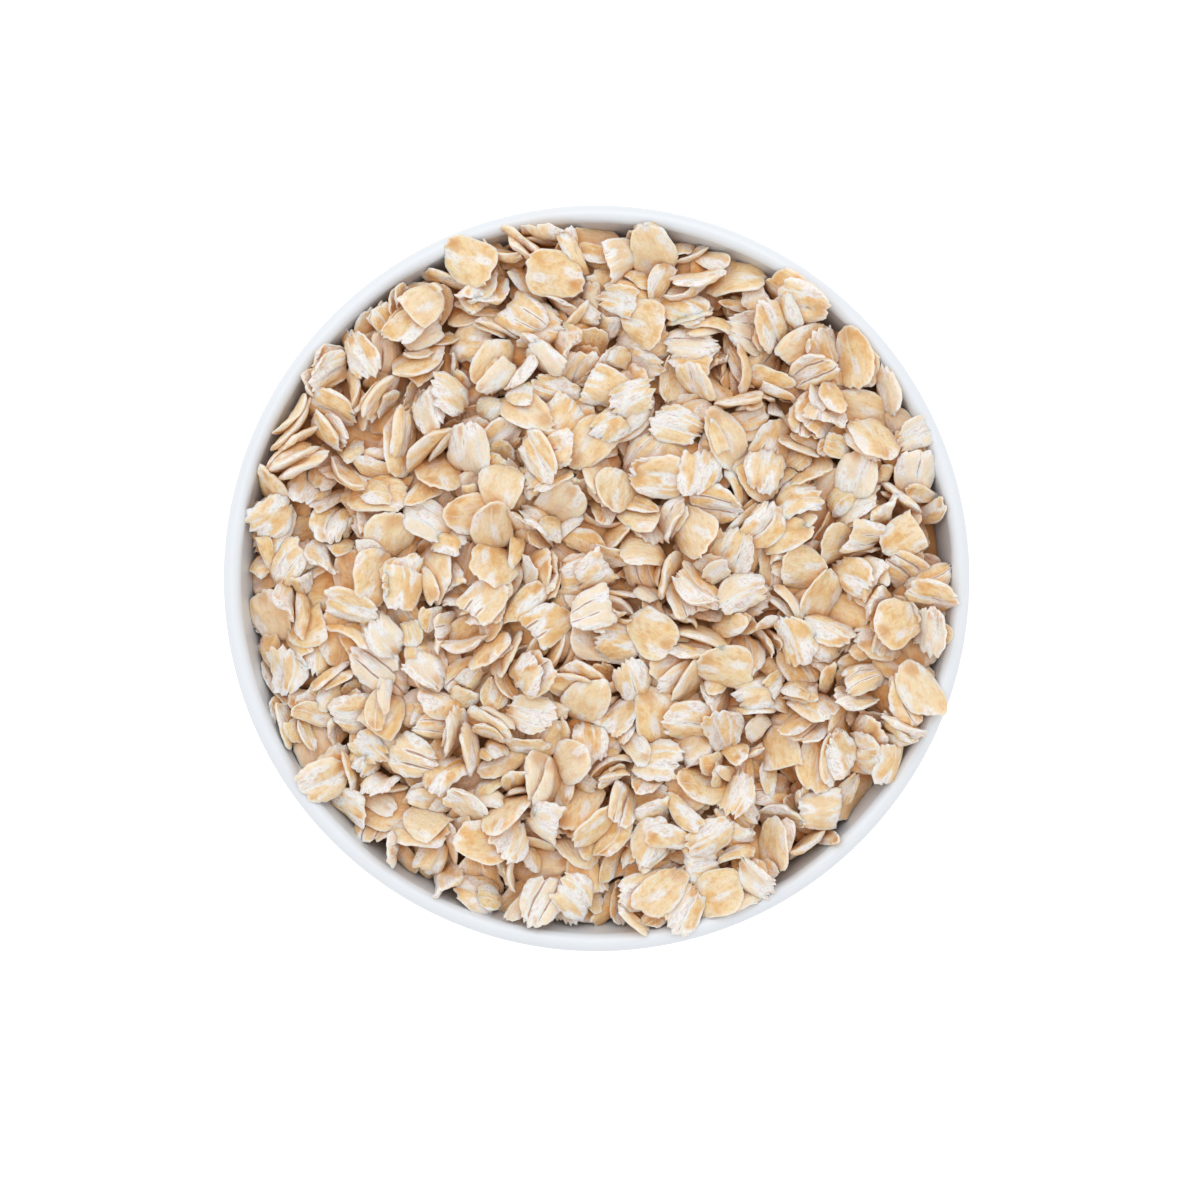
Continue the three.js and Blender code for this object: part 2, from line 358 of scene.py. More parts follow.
# works out both faces of a flake over a grid whose lines run with the grain, along X
def flakeFaces(shape, along, across):
    turns = shape["turns"]
    steps = [np.linspace(-1, 1, cells + 1) for cells in (along, across)]
    # finer towards the border
    u, v = [1.25 * s - 0.25 * s ** 3 for s in steps]
    u, v = np.meshgrid(u, v, indexing="ij")
    rim = np.maximum(np.abs(u), np.abs(v))

    # outline: an oval, torn at the ends and nicked at the sides
    ends = np.where(u > 0, np.interp(v, shape["knots"], shape["ends"][0]),
                    np.interp(v, shape["knots"], shape["ends"][1]))
    sides = np.where(v > 0, np.interp(u, shape["knots"], shape["sides"][0]),
                     np.interp(u, shape["knots"], shape["sides"][1]))
    cut = np.where(u > 0, shape["cut"] * (1 + shape["slant"] * v), 1.0)
    x = u * cut * np.sqrt(1 - shape["blunt"] * v * v / 2 * (np.minimum(cut, 1) ** 2)) \
        * (1 - ends * np.abs(u) ** 3)
    y = v * np.sqrt(1 - shape["blunt"] * (u * cut) ** 2 / 2) * (1 - sides * np.abs(v) ** 3)
    y = y * (1 + shape["egg"] * x) + 0.05 * np.sin(2.6 * x + turns[0])
    x = x + 0.05 * np.sin(2.8 * y + turns[1])
    # no outline is a clean oval
    around = np.arctan2(y, x)
    wobble = 1 + rim ** 2 * (
        0.04 * np.sin(2 * around + turns[24]) + 0.03 * np.sin(3 * around + turns[25])
        + 0.02 * np.sin(5 * around + turns[26]) + 0.012 * np.sin(9 * around + turns[27]))
    x, y = x * wobble * shape["length"] / 2, y * wobble * shape["width"] / 2
    y = y + shape["bow"] * (2 * x / shape["length"]) ** 2

    # middle surface
    fade = 1 - u ** 4
    middle = shape["wave"] * np.cos(math.pi * 1.2 * v + turns[2] + 0.8 * u) * fade
    middle += shape["wing"] * np.maximum(0, v * shape["wingSide"] - shape["wingAt"]) \
        * shape["width"] / 2
    middle -= shape["bend"] * (u * cut) ** 2 + shape["cup"] * v ** 2
    middle += shape["twist"] * u * v \
        + shape["curl"] * rim ** 4 * np.sin(2 * np.arctan2(v, u) + turns[3])

    thick = shape["thickness"] * (1 - flakeSet["edgeThinning"] * rim ** 3)
    deepCrease, deepDip = flakeSet["creaseDepth"]
    wideCrease, wideDip = flakeSet["creaseWidth"]
    faces = []
    for side, (deep, start, way, bow) in enumerate(shape["creases"]):
        t = turns[4 + 10 * side:14 + 10 * side]
        # lumps 4, 2 and 1.3 mm long
        lumps = 0.09 * np.sin(1.7 * x + t[0]) * np.sin(1.5 * y + t[1]) \
            + 0.06 * np.sin(3.1 * y + 1.1 * x + t[2]) + 0.04 * np.sin(4.3 * x - 2.2 * y + t[3])
        # the creases lie where lobe is a whole number, from side to side
        lobe = (v + (shape["lobeShift"] + bow * np.sin(2 * u + t[4])) * (1 - v * v)) \
            * shape["lobes"] / 2 + shape["lobes"] % 2 / 2
        apart = np.abs(lobe - np.round(lobe))
        crease = deep * smoothStep(start, start + 0.8, way * u) \
            * (1 - smoothStep(0.6, 0.92, np.abs(v)))
        lumps = lumps - crease * (deepCrease * np.exp(-(apart / wideCrease) ** 2)
                                  + deepDip * np.exp(-(apart / wideDip) ** 2))
        # where the skin is rubbed off and the flour shows
        torn = np.sin(0.6 * x + 0.9 * y + t[5]) + np.sin(1.9 * y - 0.5 * x + t[6]) \
            + 0.6 * np.sin(1.1 * x + 2.6 * y + t[7]) + 0.5 * rim ** 3 + shape["torn"]
        torn = smoothStep(-0.5, 1.9, torn)
        lumps = lumps - flakeSet["tornDepth"] * torn
        # the first face is the upper one; the lumps fade towards the edge
        height = middle + (1 - 2 * side) * (thick / 2 + lumps * (1 - 0.6 * rim ** 4))
        faces.append((height, lobe, crease, torn))
    return x, y, rim, thick, faces


# one closed mesh of both faces and the rounded edge between them
def flakeMesh(name, shape, along, across):
    x, y, rim, thick, faces = flakeFaces(shape, along, across)
    rows, columns = x.shape
    at = np.arange(rows * columns).reshape(rows, columns)
    loop = np.array([*at[0, :], *at[1:, -1], *at[-1, -2::-1], *at[-2:0:-1, 0]])
    top, under = [np.stack([x, y, face[0]], -1).reshape(-1, 3) for face in faces]
    edge = (top[loop] + under[loop]) / 2
    outward = edge[:, :2] / np.linalg.norm(edge[:, :2], axis=1, keepdims=True)
    edge[:, :2] += outward * flakeSet["edgeRound"] * thick.ravel()[loop, None]
    points = np.concatenate([top, under, edge])
    points -= (points.min(0) + points.max(0)) / 2

    quads = np.stack([at[:-1, :-1], at[1:, :-1], at[1:, 1:], at[:-1, 1:]], -1).reshape(-1, 4)
    half = rows * columns
    middle = np.arange(len(loop)) + 2 * half
    following, middleNext = np.roll(loop, -1), np.roll(middle, -1)
    upperEdge = np.stack([loop, following, middleNext, middle], -1)
    lowerEdge = np.stack([middle, middleNext, following + half, loop + half], -1)
    mesh = bpy.data.meshes.new(name)
    mesh.from_pydata(points.tolist(), [], np.concatenate(
        [quads, quads[:, ::-1] + half, upperEdge, lowerEdge]).tolist())

    # the map looks down on both faces, and is a flake's length wide
    flat = np.concatenate([points[:half, :2], points[:half, :2], points[2 * half:, :2]])
    flat = flat / shape["length"] + 0.5
    corners = np.empty(len(mesh.loops), int)
    mesh.loops.foreach_get("vertex_index", corners)
    flakeMap = mesh.uv_layers.new(name="flakeMap")
    flakeMap.data.foreach_set("uv", flat[corners].astype(np.float32).ravel())
    none = np.zeros(len(loop))
    for label, upper, lower, border in (
            ("rim", rim, rim, none + 1.3),
            ("lobe", faces[0][1], faces[1][1], none),
            ("crease", faces[0][2], faces[1][2], none),
            ("torn", faces[0][3], faces[1][3], faces[0][3].ravel()[loop])):
        layer = mesh.attributes.new(label, "FLOAT", "POINT")
        layer.data.foreach_set("value", np.concatenate([upper.ravel(), lower.ravel(), border]))
    mesh.update()
    mesh.shade_smooth()
    mesh.set_sharp_from_angle(angle=math.radians(flakeSet["sharpFrom"]))
    return mesh


rng = np.random.default_rng(heapSet["seed"])
kindShapes = {name: [drawShape(kind, rng) for _ in range(kind["shapes"])]
              for name, kind in flakeKinds.items()}
print("flake shapes drawn")


# the pour: every flake falls into the bowl as a rigid body
pourSet = {
    "unit": 0.1,             # scene units for a mm while it runs
    "frames": 44,
    "substeps": 8,
    "iterations": 10,
    "gravity": 60.0,
    "sides": 48,             # of the bowl and the sleeve
    "bowlSteps": (12, 4, 5),  # points of the core's top, of the wall over it and of the lip
    "stillMargin": 0.01,     # scene units, of the bowl and the sleeve
    "bowlFriction": 0.7,
    "guardFriction": 0.2,
    "guardRadius": 53.5,     # a sleeve on the lip holds the flakes in, and is then lifted off
    "guardHeights": (51.2, 400),  # mm, of its ends
    "guardLift": 0.6,        # share of the frames after which it goes
    "guardRise": 5,          # scene units
    "guardFrames": 12,       # that its rise takes
    "towards": (1.1, 0.7),   # mm that the sleeve is off the middle
    "flakeMass": 0.05,
    "flakeFriction": 2.5,
    "flakeMargin": 0.004,    # scene units
    "damping": (0.2, 0.98),  # of going and of turning
    "bodyCells": 4,          # along and across a flake's body
    "bodySize": (0.9, 0.9, 0.66),    # of a flake's own, as flakes give way to each other
    "clinging": (0.74, 0.18, 0.08),  # shares of single flakes, pairs and threes
    "nested": 1.15,          # mm from a clinging flake to the next
    "clingTurn": 0.5,        # radians that it may be turned, one way or the other
    "clingTilt": 0.16,
    "clingShift": 1.2,       # mm
    "startRadius": 49.6,
    "startHeight": 62.0,
    "startOver": (1.2, 0.8),  # mm that the starting places are off the middle
    "spacing": 7.8,          # mm between starting places
    "layer": 4.6,            # mm from a layer of them to the next
    "slide": 3,              # mm that a layer is shifted, at most
    "stray": 0.8,            # mm that each place is shifted, at most
    "brushRadius": 51.25,    # flakes that lie further out, on the lip, are brushed off
}


# a turned surface that the flakes fall on, from a section of radii and heights in mm
def addStillBody(name, section, friction):
    unit, sides, count = pourSet["unit"], pourSet["sides"], len(section)
    angles = [2 * math.pi * k / sides for k in range(sides)]
    points = [(r * unit * math.cos(a), r * unit * math.sin(a), z * unit)
              for a in angles for r, z in section]
    faces = []
    for k in range(sides):
        here, ahead = k * count, (k + 1) % sides * count
        faces += [(here + i, ahead + i, ahead + i + 1, here + i + 1) for i in range(count - 1)]
    mesh = bpy.data.meshes.new(name)
    mesh.from_pydata(points, [], faces)
    body = addPiece(name, mesh)
    bpy.ops.object.select_all(action="DESELECT")
    body.select_set(True)
    bpy.context.view_layer.objects.active = body
    bpy.ops.rigidbody.object_add(type="PASSIVE")
    body.rigid_body.collision_shape = "MESH"
    body.rigid_body.mesh_source = "BASE"
    body.rigid_body.friction = friction
    body.rigid_body.collision_margin = pourSet["stillMargin"]
    return body


# the bowl's inside with the core's top in it
def addStillBowl():
    edge, (across, up, around) = heapSet["coreEdge"], pourSet["bowlSteps"]
    inside = [(r, float(coreHeight(r, 0.0))) for r in np.linspace(0, wallRadius(edge), across)]
    inside += [(wallRadius(z), z) for z in np.linspace(edge + 1, lipCentre[1], up)]
    inside += arcPoints(lipCentre, lipRadius, 160, 0, around)
    return addStillBody("pourBowl", inside, pourSet["bowlFriction"])


# the sleeve, which rises off while the pour is still running
def addGuard():
    section = [(pourSet["guardRadius"], z) for z in pourSet["guardHeights"]]
    guard = addStillBody("pourGuard", section, pourSet["guardFriction"])
    guard.rigid_body.kinematic = True
    guard.location.xy = Vector(pourSet["towards"]) * pourSet["unit"]
    lift = int(pourSet["frames"] * pourSet["guardLift"])
    guard.keyframe_insert("location", index=2, frame=lift)
    guard.location.z = pourSet["guardRise"]
    guard.keyframe_insert("location", index=2, frame=lift + pourSet["guardFrames"])
    return guard


# points and faces of every shape, on a coarse grid
def coarseShapes():
    coarse, cells = {}, pourSet["bodyCells"]
    for name, shapes in kindShapes.items():
        for pick, shape in enumerate(shapes):
            mesh = flakeMesh("pour", shape, cells, cells)
            points = np.array([v.co[:] for v in mesh.vertices]) * pourSet["bodySize"]
            coarse[name, pick] = points, [list(p.vertices) for p in mesh.polygons]
            bpy.data.meshes.remove(mesh)
    return coarse


# shuffles all flakes and deals them out singly, or two or three that cling together
def dealFlakes(draw):
    deck = [(name, i % kind["shapes"])
            for name, kind in flakeKinds.items() for i in range(kind["count"])]
    deck = [deck[i] for i in draw.permutation(len(deck))]
    most, tilt, away = pourSet["clingTurn"], pourSet["clingTilt"], pourSet["clingShift"]
    groups = []
    while deck:
        size = min(len(deck), int(draw.choice([1, 2, 3], p=pourSet["clinging"])))
        groups.append([])
        for k in range(size):
            about = draw.uniform(-most, most) + math.pi * int(draw.integers(2))
            turn = Quaternion((1, 0, 0), draw.uniform(-tilt, tilt)) \
                @ Quaternion((0, 1, 0), draw.uniform(-tilt, tilt)) @ Quaternion((0, 0, 1), about)
            shift = Vector((draw.uniform(-away, away), draw.uniform(-away, away),
                            (k - (size - 1) / 2) * pourSet["nested"]))
            if size == 1:
                turn, shift = Quaternion(), Vector()
            groups[-1].append((*deck.pop(), turn, shift))
    return groups


# starting places over the bowl, in layers, in mm
def startPlaces(draw, count):
    radius, slide, stray = pourSet["startRadius"], pourSet["slide"], pourSet["stray"]
    overX, overY = pourSet["startOver"]
    side = np.arange(-radius, radius + 1, pourSet["spacing"])
    places = []
    level = pourSet["startHeight"]
    while len(places) < count:
        slideX, slideY = draw.uniform(-slide, slide, 2)
        for x in side + slideX:
            for y in side + slideY:
                if math.hypot(x, y) < radius:
                    places.append((x + overX, y + overY, level) + draw.uniform(-stray, stray, 3))
        level += pourSet["layer"]
    return places


# a rigid body for every group, turned at random
def addFlakeBodies(draw, coarse, groups, places):
    unit = pourSet["unit"]
    bodies = []
    for group, place in zip(groups, places):
        points, faces = [], []
        for name, pick, turn, shift in group:
            own, sides = coarse[name, pick]
            faces += [[i + len(points) for i in face] for face in sides]
            points += [(turn @ Vector(p) + shift) * unit for p in own]
        mesh = bpy.data.meshes.new("pour")
        mesh.from_pydata(points, [], faces)
        body = addPiece("pour", mesh)
        body.location = Vector(place) * unit
        body.rotation_mode = "QUATERNION"
        body.rotation_quaternion = Quaternion(draw.normal(size=4)).normalized()
        bodies.append(body)
    bpy.ops.object.select_all(action="DESELECT")
    for body in bodies:
        body.select_set(True)
    bpy.context.view_layer.objects.active = bodies[0]
    bpy.ops.rigidbody.objects_add(type="ACTIVE")
    for body, group in zip(bodies, groups):
        rigid = body.rigid_body
        rigid.collision_shape = "CONVEX_HULL"
        rigid.mesh_source = "BASE"
        rigid.mass = pourSet["flakeMass"] * len(group)
        rigid.friction = pourSet["flakeFriction"]
        rigid.restitution = 0
        rigid.use_margin = True
        rigid.collision_margin = pourSet["flakeMargin"]
        rigid.linear_damping, rigid.angular_damping = pourSet["damping"]
        rigid.use_deactivation = False
    return bodies


# where every flake has come to lie, in mm, how it is turned, and which shape it has
def landedFlakes(groups, bodies):
    depsgraph = bpy.context.evaluated_depsgraph_get()
    landed = {name: [] for name in flakeKinds}
    for group, body in zip(groups, bodies):
        matrix = body.evaluated_get(depsgraph).matrix_world
        place, turned = matrix.to_translation() / pourSet["unit"], matrix.to_quaternion()
        for name, pick, turn, shift in group:
            spot = place + turned @ shift
            if spot.z > cornerZ and math.hypot(spot.x, spot.y) < pourSet["brushRadius"]:
                landed[name].append((spot, turned @ turn, pick))
    return landed


def pourFlakes():
    draw = np.random.default_rng(heapSet["seed"] + 1)
    scene.gravity = (0, 0, -pourSet["gravity"])
    bpy.ops.rigidbody.world_add()
    world = scene.rigidbody_world
    world.substeps_per_frame = pourSet["substeps"]
    world.solver_iterations = pourSet["iterations"]
    world.point_cache.frame_end = pourSet["frames"] + 2
    bowl, guard = addStillBowl(), addGuard()
    coarse = coarseShapes()
    groups = dealFlakes(draw)
    bodies = addFlakeBodies(draw, coarse, groups, startPlaces(draw, len(groups)))
    for step in range(1, pourSet["frames"] + 1):
        scene.frame_set(step)
    landed = landedFlakes(groups, bodies)

    # clear the pour away
    meshes = [body.data for body in [*bodies, bowl, guard]]
    guard.animation_data_clear()
    bpy.ops.rigidbody.world_remove()
    for body in [*bodies, bowl, guard]:
        bpy.data.objects.remove(body)
    for mesh in meshes:
        bpy.data.meshes.remove(mesh)
    scene.frame_set(1)
    return landed


landed = pourFlakes()
print("flakes poured:", {name: len(spots) for name, spots in landed.items()})


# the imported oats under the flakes
def makeCore():
    rng = np.random.default_rng(heapSet["seed"] + 2)
    gap, edge = heapSet["wallGap"], heapSet["coreEdge"]
    across, down, around = heapSet["coreSteps"]
    reach = wallRadius(edge) - gap
    section = [(r, edge) for r in np.linspace(0, reach, across)]
    section += [(wallRadius(z) - gap, z) for z in np.linspace(edge, cornerZ + 4, down)[1:]]
    section += arcPoints((cornerR, cornerZ), bowlSet["cornerRadius"] - gap,
                         -bowlSet["wallLean"], -90, around)
    section += [(0, bowlSet["floorTop"] + gap)]
    core = turnPiece("oatCore", section, heapSet["coreSides"], makeCoreMaterial())
    # the flat top becomes a dome with crumbs
    points = np.empty(len(core.data.vertices) * 3, np.float32)
    core.data.vertices.foreach_get("co", points)
    points = points.reshape(-1, 3) / mm
    top = points[:, 2] > edge - 0.01
    x, y = points[top, 0], points[top, 1]
    inner = 1 - (np.hypot(x, y) / reach) ** 6
    bumps = np.sin(x * 0.9 + 1.3 * np.sin(y * 0.6)) * np.sin(y * 0.8 + 1.1 * np.sin(x * 0.7))
    points[top, 2] = coreHeight(x, y) \
        + inner * heapSet["relief"] * (bumps + rng.uniform(-0.6, 0.6, x.size))
    core.data.vertices.foreach_set("co", (points * mm).ravel())
    core.data.update()
    return core


# the same oats further down, packed close: painted shade, their colour darkened to a dull brown as
# little light gets down to them
def makeCoreMaterial():
    material, tree = newMaterial("packedOats")
    place = addNode(tree, "ShaderNodeTexCoord").outputs["Object"]
    # a cell is a flake seen among others, 5 mm; its darker border is painted shade between the
    # flakes
    cells = addNode(tree, "ShaderNodeTexVoronoi", None, {"Vector": place, "Scale": 190.0})
    middle, border = [hexToLinear(code) for code in heapSet["coreShadeColours"]]
    colour = addNode(tree, "ShaderNodeMix", {"data_type": "RGBA"}, {
        "Factor": cells.outputs["Distance"], 6: middle, 7: border})
    bump = addNode(tree, "ShaderNodeBump", None, {
        "Height": cells.outputs["Distance"], "Strength": 0.9, "Distance": 0.0006})
    shader = addNode(tree, "ShaderNodeBsdfPrincipled", None, {
        "Base Color": colour.outputs[2], "Roughness": 0.85, "Specular IOR Level": 0.2,
        "Normal": bump.outputs["Normal"]})
    addNode(tree, "ShaderNodeOutputMaterial", None, {"Surface": shader.outputs["BSDF"]})
    return material


oatCore = makeCore()
print("core made")


# the flakes' colour by kind, and how much flour shows on them
oatColours = {
    "flakesSmooth": {"bran": "#E8D0A4", "flour": 0.7},
    "flakesCreased": {"bran": "#E5CA9C", "flour": 1.0},
    "flakesFloury": {"bran": "#E7CFA6", "flour": 1.0},
    "flakesSlivers": {"bran": "#E5CB9D", "flour": 0.95},
    "flakesBroken": {"bran": "#E6CEA1", "flour": 0.95},
}


# noises over a flake: stretch along the grain, scale, detail and roughness, with their size on
# a flake 9 mm long, as the map they lie on is as wide as the flake is long
oatNoises = {
    "cloud": (1.0, 3.0, 2.0, 0.5),    # 3 mm
    "blot": (1.6, 6.0, 3.0, 0.5),     # 1.5 by 0.9 mm
    "grain": (3.4, 5.5, 2.5, 0.5),    # 1.6 by 0.5 mm
    "speck": (1.0, 18.0, 3.0, 0.5),   # 0.5 mm
    "fibre": (3.0, 15.0, 2.5, 0.65),  # 0.6 by 0.2 mm
}


# rolled oat flakes, steamed and pressed: dry matte bran, cut edges of cream endosperm, and white
# flour where the skin is split or rubbed off; a little light passes through them
def makeOatMaterial(name, colours):
    material, tree = newMaterial(name)
    flour = colours["flour"]
    marks = {label: addNode(tree, "ShaderNodeAttribute", {"attribute_name": label}).outputs
             for label in ("rim", "lobe", "crease", "torn", "tone", "grainOffset", "aboveCore",
                           "hollow")}
    flat = addNode(tree, "ShaderNodeUVMap", {"uv_map": "flakeMap"}).outputs["UV"]
    shifted = addNode(tree, "ShaderNodeVectorMath", {"operation": "ADD"}, {
        0: flat, 1: marks["grainOffset"]["Vector"]}).outputs[0]
    noises = {}
    for label, (stretch, scale, detail, roughness) in oatNoises.items():
        place = shifted
        if stretch > 1:
            place = addNode(tree, "ShaderNodeMapping", None, {
                "Vector": shifted, "Scale": (1, stretch, 1)}).outputs[0]
        noises[label] = addNode(tree, "ShaderNodeTexNoise", None, {
            "Vector": place, "Scale": scale, "Detail": detail,
            "Roughness": roughness}).outputs["Fac"]
    germEnd = addNode(tree, "ShaderNodeVectorMath", {"operation": "DISTANCE"}, {
        0: flat, 1: (0.13, 0.48, 0)})
    # rubbed skin: the torn places, blotted and speckled
    rough = addNode(tree, "ShaderNodeMath", {"operation": "MULTIPLY_ADD"}, {
        0: noises["blot"], 1: 1.3, 2: marks["torn"]["Fac"]})
    rougher = addNode(tree, "ShaderNodeMath", {"operation": "MULTIPLY_ADD"}, {
        0: noises["speck"], 1: 0.5, 2: rough.outputs[0]})
    # creases: 1 and more right in one, falling off to both sides
    apart = addNode(tree, "ShaderNodeMath", {"operation": "PINGPONG"}, {
        0: marks["lobe"]["Fac"], 1: 0.5})
    near = addNode(tree, "ShaderNodeMath", {"operation": "MULTIPLY_ADD"}, {
        0: apart.outputs[0], 1: -3.6, 2: marks["crease"]["Fac"]})
    split = addNode(tree, "ShaderNodeMath", {"operation": "MULTIPLY_ADD"}, {
        0: noises["grain"], 1: 0.7, 2: near.outputs[0]})
    # crumbled flour: only where the skin is well off
    crumbled = addNode(tree, "ShaderNodeMath", {"operation": "MULTIPLY_ADD"}, {
        0: noises["fibre"], 1: -1.6, 2: rough.outputs[0]})
    follows = {
        **noises, "germ": germEnd.outputs["Value"], "rub": rougher.outputs[0],
        "split": split.outputs[0], "crumb": crumbled.outputs[0], "rim": marks["rim"]["Fac"],
        "tone": marks["tone"]["Fac"], "above": marks["aboveCore"]["Fac"]}
    # what a layer follows, from and to which value it comes in, how much of it, and its colour
    layers = (
        ("cloud", 0.46, 0.66, 0.6, "#EBDEC6"),
        ("cloud", 0.48, 0.34, 0.65, "#DDAF72"),
        ("blot", 0.46, 0.3, 0.5, "#D6A669"),
        ("blot", 0.54, 0.7, 0.45, "#E9E0D0"),
        ("grain", 0.46, 0.3, 0.3, "#CC965E"),
        ("speck", 0.47, 0.32, 0.25, "#D3A26C"),
        ("tone", 0.3, 1.0, 0.35, "#E9DEC9"),
        ("tone", 0.84, 0.93, 0.45 * flour, "#EAE8E2"),
        ("germ", 0.2, 0.04, 0.55, "#CA9053"),
        ("rim", 0.84, 1.05, 0.65, "#EAE6DF"),
        ("rub", 0.92, 1.72, 0.8 * flour, "#E7E6E3"),
        ("split", 0.5, 0.9, 0.9 * flour, "#EAEAE8"),
        ("rub", 1.36, 1.84, 0.95 * flour, "#EBECEE"),
        ("crumb", 0.74, 1.05, 0.5 * flour, "#CDB08F"),
        ("fibre", 0.41, 0.27, 0.3, "#BE9468"),
        ("split", 1.05, 1.28, 0.75, "#AE774B"),
        # painted shade: points within a few mm of the core are darkened towards brown, for the
        # shade deep in the heap
        ("above", 4.5, 0.5, 0.55, "#B9824F"),
    )
    colour = hexToLinear(colours["bran"])
    for source, low, high, most, code in layers:
        mask = addNode(tree, "ShaderNodeMapRange", {"interpolation_type": "SMOOTHSTEP"}, {
            "Value": follows[source], "From Min": low, "From Max": high, "To Max": most})
        colour = addNode(tree, "ShaderNodeMix", {"data_type": "RGBA"}, {
            "Factor": mask.outputs[0], 6: colour, 7: hexToLinear(code)}).outputs[2]
    # painted shade: where the heap hides the light from above, the colour is multiplied towards a
    # warm brown, as light in the hollows has come through flakes and off them, and is warmer than
    # they are
    mask = addNode(tree, "ShaderNodeMapRange", None, {
        "Value": marks["hollow"]["Fac"], "From Min": 0.1, "From Max": 0.8})
    colour = addNode(tree, "ShaderNodeMix", {"data_type": "RGBA", "blend_type": "MULTIPLY"}, {
        "Factor": mask.outputs[0], 6: colour, 7: hexToLinear("#FFDDBD")}).outputs[2]
    height = addNode(tree, "ShaderNodeMath", {"operation": "MULTIPLY_ADD"}, {
        0: noises["speck"], 1: 0.8, 2: noises["grain"]})
    bump = addNode(tree, "ShaderNodeBump", None, {
        "Height": height.outputs[0], "Strength": 0.8, "Distance": 0.00028})
    shader = addNode(tree, "ShaderNodeBsdfPrincipled", None, {
        "Base Color": colour, "Roughness": 0.8, "IOR": 1.45, "Specular IOR Level": 0.2,
        "Subsurface Weight": 0.55, "Subsurface Radius": (1.0, 0.65, 0.4),
        "Subsurface Scale": 0.0012, "Normal": bump.outputs["Normal"]})
    addNode(tree, "ShaderNodeOutputMaterial", None, {"Surface": shader.outputs["BSDF"]})
    return material


# puts the picked shape, turned, on every landed place, with a tone and a grain of its own
def makeScatterTree():
    tree, given = newTree("scatterFlakes", {
        "Places": "NodeSocketGeometry", "Shapes": "NodeSocketCollection",
        "Core": "NodeSocketObject", "Material": "NodeSocketMaterial",
        "Size": "NodeSocketFloat", "Seed": "NodeSocketInt"})
    shapes = addNode(tree, "GeometryNodeCollectionInfo", {"transform_space": "ORIGINAL"}, {
        "Collection": given["Shapes"], "Separate Children": True, "Reset Children": True})
    turn = addNode(tree, "GeometryNodeInputNamedAttribute", {"data_type": "QUATERNION"}, {
        "Name": "turn"})
    pick = addNode(tree, "GeometryNodeInputNamedAttribute", {"data_type": "INT"}, {
        "Name": "pick"})
    placed = addNode(tree, "GeometryNodeInstanceOnPoints", None, {
        "Points": given["Places"], "Instance": shapes.outputs[0], "Pick Instance": True,
        "Instance Index": pick.outputs["Attribute"], "Rotation": turn.outputs["Attribute"],
        "Scale": given["Size"]})
    tone = addNode(tree, "FunctionNodeRandomValue", {"data_type": "FLOAT"}, {
        "Seed": given["Seed"]})
    offset = addNode(tree, "FunctionNodeRandomValue", {"data_type": "FLOAT_VECTOR"}, {
        0: (0, 0, 0), 1: (40, 40, 40), "Seed": given["Seed"]})
    toned = addNode(tree, "GeometryNodeStoreNamedAttribute", {
        "data_type": "FLOAT", "domain": "INSTANCE"}, {
        "Geometry": placed.outputs[0], "Name": "tone", "Value": tone.outputs[1]})
    shifted = addNode(tree, "GeometryNodeStoreNamedAttribute", {
        "data_type": "FLOAT_VECTOR", "domain": "INSTANCE"}, {
        "Geometry": toned.outputs[0], "Name": "grainOffset", "Value": offset.outputs[0]})
    real = addNode(tree, "GeometryNodeRealizeInstances", None, {"Geometry": shifted.outputs[0]})
    # how far each point is from the core, in mm, for the painted shade deep in the heap
    core = addNode(tree, "GeometryNodeObjectInfo", {"transform_space": "ORIGINAL"}, {
        "Object": given["Core"]})
    away = addNode(tree, "GeometryNodeProximity", {"target_element": "FACES"}, {
        0: core.outputs["Geometry"]})
    inMm = addNode(tree, "ShaderNodeMath", {"operation": "DIVIDE"}, {
        0: away.outputs["Distance"], 1: mm})
    above = addNode(tree, "GeometryNodeStoreNamedAttribute", {
        "data_type": "FLOAT", "domain": "POINT"}, {
        "Geometry": real.outputs[0], "Name": "aboveCore", "Value": inMm.outputs[0]})
    coated = addNode(tree, "GeometryNodeSetMaterial", None, {
        "Geometry": above.outputs[0], "Material": given["Material"]})
    addNode(tree, "NodeGroupOutput", None, {"Result": coated.outputs[0]})
    return tree


def scatterKind(name, spots, tree, seed):
    kind = flakeKinds[name]
    material = makeOatMaterial(name.replace("flakes", "rolledOat"), oatColours[name])
    shapes = bpy.data.collections.new(name + "Shapes")
    for i, shape in enumerate(kindShapes[name]):
        mesh = flakeMesh(f"{name}Shape{i:02d}", shape, *kind["cells"])
        mesh.transform(Matrix.Scale(mm, 4))
        mesh.materials.append(material)  # else the realized piece gets an empty slot too
        shapes.objects.link(bpy.data.objects.new(mesh.name, mesh))
    places = bpy.data.meshes.new(name + "Places")
    places.from_pydata([tuple(place * mm) for place, _, _ in spots], [], [])
    turns = places.attributes.new("turn", "QUATERNION", "POINT")
    turns.data.foreach_set("value", [c for _, turn, _ in spots for c in turn])
    picks = places.attributes.new("pick", "INT", "POINT")
    picks.data.foreach_set("value", [pick for _, _, pick in spots])
    piece = applyTree(addPiece(name, places), tree, {
        "Shapes": shapes, "Core": oatCore, "Size": 1.0, "Seed": seed, "Material": material})
    for shape in list(shapes.objects):
        bpy.data.objects.remove(shape)
    bpy.data.collections.remove(shapes)
    triangles = sum(len(p.vertices) - 2 for p in piece.data.polygons)
    print(name, len(spots), "flakes,", triangles, "triangles")
    return piece


scatterTree = makeScatterTree()
flakePieces = [scatterKind(name, spots, scatterTree, heapSet["scatterSeed"] + i)
               for i, (name, spots) in enumerate(landed.items())]


# the rays that look from a point for flakes over it: one straight up, the others around it
hollowSet = {
    "lift": 0.15,    # mm from the point to where they start
    "reach": 6.0,    # mm
    "around": 6,
    "slope": 1.1,    # upwards for each unit outwards
}


